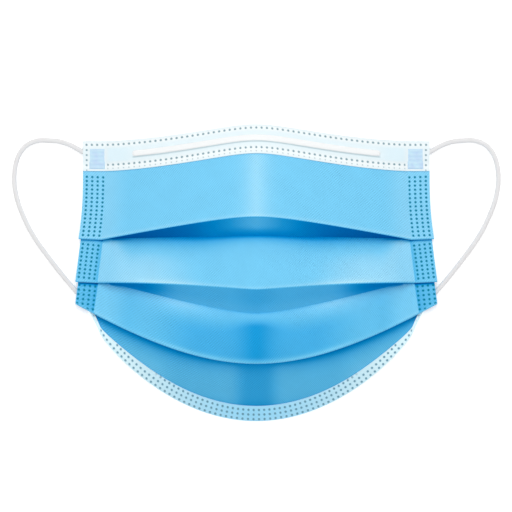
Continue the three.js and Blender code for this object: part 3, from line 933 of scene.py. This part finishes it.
def binding(name, node, leaf, sign, relief, values, material):
    """Binding's piece. values are numbers on the front leaf, from the edge inwards, and 0 elsewhere."""
    outer, inner = binding_faces(leaf, sign, relief)
    length = add_up(np.linalg.norm(np.diff(outer, axis=1), axis=2))
    uv = np.stack([outer[:, :, 0], length], axis=-1)
    rings = both_faces(outer, inner)
    uvs = both_faces(uv, uv)
    rest = np.zeros((len(outer), outer.shape[1] - relief.shape[1]))
    spread = {key: np.concatenate([value[:, ::-1], rest], axis=1) for key, value in values.items()}
    spread = {key: both_faces(value, value) for key, value in spread.items()}
    if sign < 0:
        rings = rings[:, ::-1]
        uvs = uvs[:, ::-1]
        spread = {key: value[:, ::-1] for key, value in spread.items()}
    piece = ring_mesh(name, rings, [material], np.zeros(rings.shape[1], int), spread, uvs)
    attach(piece, "root")
    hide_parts(node)
    return piece


def leaf_of(section, point, normal, width):
    """A binding's leaf: the section's shares with its own points, from the edge inwards."""
    return dict(share=section["share"], point=point, normal=normal, width=width)


LEAF_STEPS = 52
COARSE_STEPS = [LEAF_STEPS, 4, 2, 4, 2, 4, 2, 4]
COARSE_BEND_STEPS = 3
# Dots of the nose binding: rows by their distance below the nose edge, and a column near each side edge.
NOSE_UPPER_ROW = 1.95
NOSE_LOWER_ROW = 12.1
NOSE_SMALL_ROW = 14.0
NOSE_FIRST_DOT = 1.8  # from the side edge to the first dot of a row
NOSE_HALF_DOTS = 32  # pitches from there to the dot at the middle
NOSE_DOT_RADIUS = 0.56
SMALL_DOT_RADIUS = 0.3
NOSE_COLUMN = dict(first=4.6, pitch=2.55, count=5)
NOSE_COLUMN_FROM_SIDE = 1.9
NOSE_SWELL = 0.14  # how far the cloth swells between the rows


def nose_leaf(shares):
    """The nose binding's leaf: the cloth from the nose edge down to the binding's lower edge."""
    section = cloth_section(shares, COARSE_STEPS, COARSE_BEND_STEPS)
    keep = slice(0, LEAF_STEPS + 1)
    return leaf_of(section, *(section[key][:, keep] for key in ("point", "normal", "width")))


def nose_binding():
    """White binding on the nose edge: dotted welds, a low swell between their rows, a painted shadow under
    the strip.
    """
    leaf = nose_leaf(shares_between(-1, 1, DOT_PITCH))
    x = np.abs(place(leaf, 0)[:, :, 0])
    below = EDGE_INSET + (NOSE_BAND_HEIGHT - EDGE_INSET) * np.arange(LEAF_STEPS + 1) / LEAF_STEPS
    below = np.broadcast_to(below, x.shape)
    from_side = side_distance(leaf)
    pitch = (NOSE_WIDTH / 2 - NOSE_FIRST_DOT) / NOSE_HALF_DOTS
    in_row = nearest(NOSE_WIDTH / 2 - x, NOSE_FIRST_DOT, pitch, NOSE_HALF_DOTS + 1)
    inside = smooth((from_side - 12.0) / 0.6)
    upper = dot_mask(np.hypot(in_row, below - NOSE_UPPER_ROW), NOSE_DOT_RADIUS)
    lower = dot_mask(np.hypot(in_row, below - NOSE_LOWER_ROW), NOSE_DOT_RADIUS) * inside
    small = dot_mask(np.hypot(in_row, below - NOSE_SMALL_ROW), SMALL_DOT_RADIUS) * inside * 0.7
    column_radius = mix(0.5, SMALL_DOT_RADIUS, below > 13.5)
    from_column = np.hypot(from_side - NOSE_COLUMN_FROM_SIDE, nearest(below, **NOSE_COLUMN))
    column = dot_mask(from_column, column_radius)
    under_strip = STRIP_BELOW_EDGE + STRIP_HEIGHT / 2 + 0.25
    past_strip = x - STRIP_LENGTH / 2
    # painted shadow: a grey line under the strip, carried with the dots, which also sink it as a shallow
    # groove
    strip_shadow_line = bell(below - under_strip, 0.4) * (1 - smooth((past_strip + 1) / 1.5))
    dots = np.clip(upper + lower + small + column + 0.55 * strip_shadow_line, 0, 1)
    swelling = smooth((below - 2.8) / 1.6) * (1 - smooth((below - 9.6) / 1.6))
    halo = bell(below - NOSE_UPPER_ROW, 0.9) + bell(below - 12.9, 1.4)
    beyond_strip = smooth((past_strip + 3) / 8)
    tint = swelling * mix(0.35, 1.0, beyond_strip) * smooth((from_side - 11.0) / 3.0)
    relief = NOSE_SWELL * swelling - dots * DOT_DEPTH
    values = dict(shade=tint, rim=np.clip(0.8 * halo, 0, 1), dot=dots)
    return binding("nose_binding", "top_band", leaf, -1, relief, values, NOSE_WHITE)


CHIN_LEAF_STEPS = 30
CHIN_ROWS = (1.5, 3.85, 6.2)  # above the chin edge
CHIN_DOT_PITCH = 2.84
CHIN_HALF_DOTS = 50  # about how many places a row has on each side of the middle, more than fit
NEWTON_STEPS = 6


def chin_leaf(section, steps):
    """Chin binding's leaf on the last panel: even steps of height, found on its curve by Newton's method."""
    run = section["runs"][7]
    edge, edge_normal, _ = run_points(run, np.array([1.0]))
    height = mix(CHIN_BAND_SIDE, CHIN_BAND_HEIGHT, 1 - section["across"] ** CHIN_BAND_POWER)[:, None]
    rise = height - EDGE_INSET * edge_normal.imag + BAND_REACH * edge_normal.real
    wanted = edge.real + rise * np.arange(steps + 1) / steps
    fall = (run["start"] - run["end"]).real[:, None]
    share = 1 - (wanted - edge.real) / fall
    nudge = 1e-4
    for _ in range(NEWTON_STEPS):
        y = run_points(run, share)[0].real
        slope = (run_points(run, share + nudge)[0].real - y) / nudge
        share = share - (y - wanted) / slope
    point, normal, width = run_points(run, share)
    return leaf_of(section, point, normal, width)


def chin_binding():
    """White binding on the chin edge, with three rows of dots that run out towards the sides."""
    shares = shares_between(-CHIN_BAND_SHARE, CHIN_BAND_SHARE, DOT_PITCH)
    section = cloth_section(shares, COARSE_STEPS, COARSE_BEND_STEPS)
    leaf = chin_leaf(section, CHIN_LEAF_STEPS)
    front = place(leaf, BAND_REACH)
    edge = front[:, :1]
    step = np.gradient(edge[:, 0, :2], axis=0)
    arc = distance_along(edge[:, 0, :2])
    tangent = (step / np.linalg.norm(step, axis=1)[:, None])[:, None, :]
    offset = front[:, :, :2] - edge[:, :, :2]
    along = (arc - arc[-1] / 2)[:, None] + (offset * tangent).sum(axis=2)
    inwards = EDGE_INSET + offset[:, :, 1] * tangent[:, :, 0] - offset[:, :, 0] * tangent[:, :, 1]
    top = inwards[:, -1:]
    in_row = nearest(along, -CHIN_DOT_PITCH * (CHIN_HALF_DOTS + 0.5), CHIN_DOT_PITCH, 2 * CHIN_HALF_DOTS + 1)
    dots = np.zeros(inwards.shape)
    for distance in CHIN_ROWS:
        room = smooth((top - distance - 0.25) / 0.4)
        dots = np.maximum(dots, dot_mask(np.hypot(in_row, inwards - distance), DOT_RADIUS) * room)
    middle = (1 - section["across"])[:, None]
    rim = np.exp(-(top - inwards) / 0.7)
    tint = np.broadcast_to(smooth(middle), inwards.shape)
    values = dict(shade=tint, rim=np.clip(rim, 0, 1) * 0.15, dot=dots)
    return binding("chin_binding", "bottom_band", leaf, 1, -dots * DOT_DEPTH, values, CHIN_WHITE)


nose_sleeve = nose_binding()
chin_sleeve = chin_binding()


def front_point(leaf, below, lift):
    """Points on the nose binding's front, at distances below the nose edge and heights over the binding."""
    part = (below - EDGE_INSET) / (NOSE_BAND_HEIGHT - EDGE_INSET)
    edge = leaf["point"][:, :1]
    normal = leaf["normal"][:, :1]
    point = mix(edge, leaf["point"][:, -1:], part) + normal * (BAND_REACH + lift)
    width = mix(leaf["width"][:, :1], leaf["width"][:, -1:], part)
    return in_space(leaf["share"][:, None] * half_width(width), point)


STRIP_PITCH = 0.5
STRIP_COLUMNS = 15
STRIP_SINK = 0.05  # how far its underside lies in the binding


def nose_strip():
    """Strip under its cover: a pillow with half-round ends, whose height across is the root of 1 - b^4."""
    reach = STRIP_LENGTH / NOSE_WIDTH
    leaf = nose_leaf(shares_between(-reach, reach, STRIP_PITCH))
    half = STRIP_HEIGHT / 2
    from_end = (reach - np.abs(leaf["share"])) * NOSE_WIDTH / 2
    round_end = np.sqrt(np.clip(1 - np.clip(1 - from_end / half, 0, 1) ** 2, 0.01, 1))[:, None]
    b = np.sin(np.linspace(-1, 1, STRIP_COLUMNS) * np.pi / 2)
    below = STRIP_BELOW_EDGE + b * half * round_end
    over = front_point(leaf, below, STRIP_DEPTH * (1 - b**4) ** 0.5 * round_end)
    under = front_point(leaf, below, np.full(below.shape, -STRIP_SINK))
    rings = both_faces(over, under)
    uv = both_faces(over[:, :, :2], under[:, :, :2])
    piece = ring_mesh("nose_strip_ridge", rings, [STRIP_WHITE], np.zeros(rings.shape[1], int), {}, uv)
    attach(piece, "root")
    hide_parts("nose_strip")
    return piece


PATCH_GRID = (41, 61)
PATCH_RIBS = 5
PATCH_SINK = 0.1  # how far its underside lies in the binding


def weld_patch(node, name, side):
    """Pressed square over a loop's end: a thin slab with soft edges and fine ribs, a cosine wave down it."""
    across = np.linspace(-0.5, 0.5, PATCH_GRID[0])[:, None] * PATCH_WIDTH
    up = np.linspace(0.5, -0.5, PATCH_GRID[1])[None, :] * PATCH_HEIGHT
    border = np.minimum(PATCH_WIDTH / 2 - np.abs(across), PATCH_HEIGHT / 2 - np.abs(up))
    ribs = (0.5 + 0.5 * np.cos(2 * np.pi * up * PATCH_RIBS / PATCH_HEIGHT)) * smooth(border / 0.8)
    low = 2 * BAND_REACH
    x = np.broadcast_to(side * (NOSE_WIDTH / 2 - PATCH_FROM_SIDE) + across, ribs.shape)
    y = np.broadcast_to(NOSE_CORNER_Y - PATCH_BELOW_EDGE + up, ribs.shape)
    top = np.stack([x, y, low + PATCH_DEPTH * smooth(border / 0.5) + RIB_HEIGHT * ribs], axis=-1)
    bottom = np.stack([x, y, np.full(ribs.shape, low - PATCH_SINK)], axis=-1)
    rings = both_faces(top, bottom)
    values = {"rim": both_faces(ribs, ribs)}
    uv = both_faces(top[:, :, :2], bottom[:, :, :2])
    piece = ring_mesh(name, rings, [WELDED], np.zeros(rings.shape[1], int), values, uv)
    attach(piece, "root")
    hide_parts(node)
    return piece


strip = nose_strip()
left_patch = weld_patch("weld_patch_left", "left_weld", -1)
right_patch = weld_patch("weld_patch_right", "right_weld", 1)

# Floor and light. Lengths are in metres here, and each light has its place, its size and its power in watts.
FLOOR_REACH = 3.0
FLOOR_LEVEL = -0.0001
FLOOR_GLOW = 0.22
SKY_STRENGTH = 0.42
LIGHTS = {
    "key": ((0, 1.4, 1.5), (1.0, 1.0), 14),
    "overhead": ((0, 0.1, 2.0), (2.0, 2.0), 16),
    "left": ((-1.6, -0.5, 1.0), (1.2, 1.0), 7),
    "right": ((1.6, -0.5, 1.0), (1.2, 1.0), 7),
}


def pale_floor():
    """White studio sheet, a little lit by itself so that the mask's shadow stays faint."""
    corners = [(-1, -1), (1, -1), (1, 1), (-1, 1)]
    mesh = bpy.data.meshes.new("floor")
    points = [(x * FLOOR_REACH, y * FLOOR_REACH, FLOOR_LEVEL) for x, y in corners]
    mesh.from_pydata(points, [], [(0, 1, 2, 3)])
    n = Nodes("studio_sheet")
    paper = n.noise(n.add("ShaderNodeTexCoord").outputs["Object"], 3.0)
    colour = n.tinted((0.93, 0.93, 0.93, 1), n.math("MULTIPLY_ADD", paper, 0.01, 1.0))
    mesh.materials.append(n.finish(colour, None, 0.9, 0.1))
    n.shader.inputs["Emission Color"].default_value = (1, 1, 1, 1)
    n.shader.inputs["Emission Strength"].default_value = FLOOR_GLOW
    floor = bpy.data.objects.new("floor", mesh)
    bpy.context.scene.collection.objects.link(floor)


def area_light(name, location, size, power):
    """Rectangular soft light that faces the mask."""
    data = bpy.data.lights.new(name, "AREA")
    data.shape = "RECTANGLE"
    data.size, data.size_y = size
    data.energy = power
    light = bpy.data.objects.new(name, data)
    light.location = location
    light.rotation_euler = (-light.location).to_track_quat("-Z", "Y").to_euler()
    bpy.context.scene.collection.objects.link(light)


def studio_light():
    """Soft light from the nose side, from above and from both sides, with white all round."""
    for name, (location, size, power) in LIGHTS.items():
        area_light(name, location, size, power)
    world = bpy.data.worlds.new("studio")
    world.use_nodes = True
    background = world.node_tree.nodes["Background"]
    background.inputs["Color"].default_value = (1, 1, 1, 1)
    background.inputs["Strength"].default_value = SKY_STRENGTH
    bpy.context.scene.world = world
    bpy.context.scene.view_settings.view_transform = "Standard"


pale_floor()
studio_light()
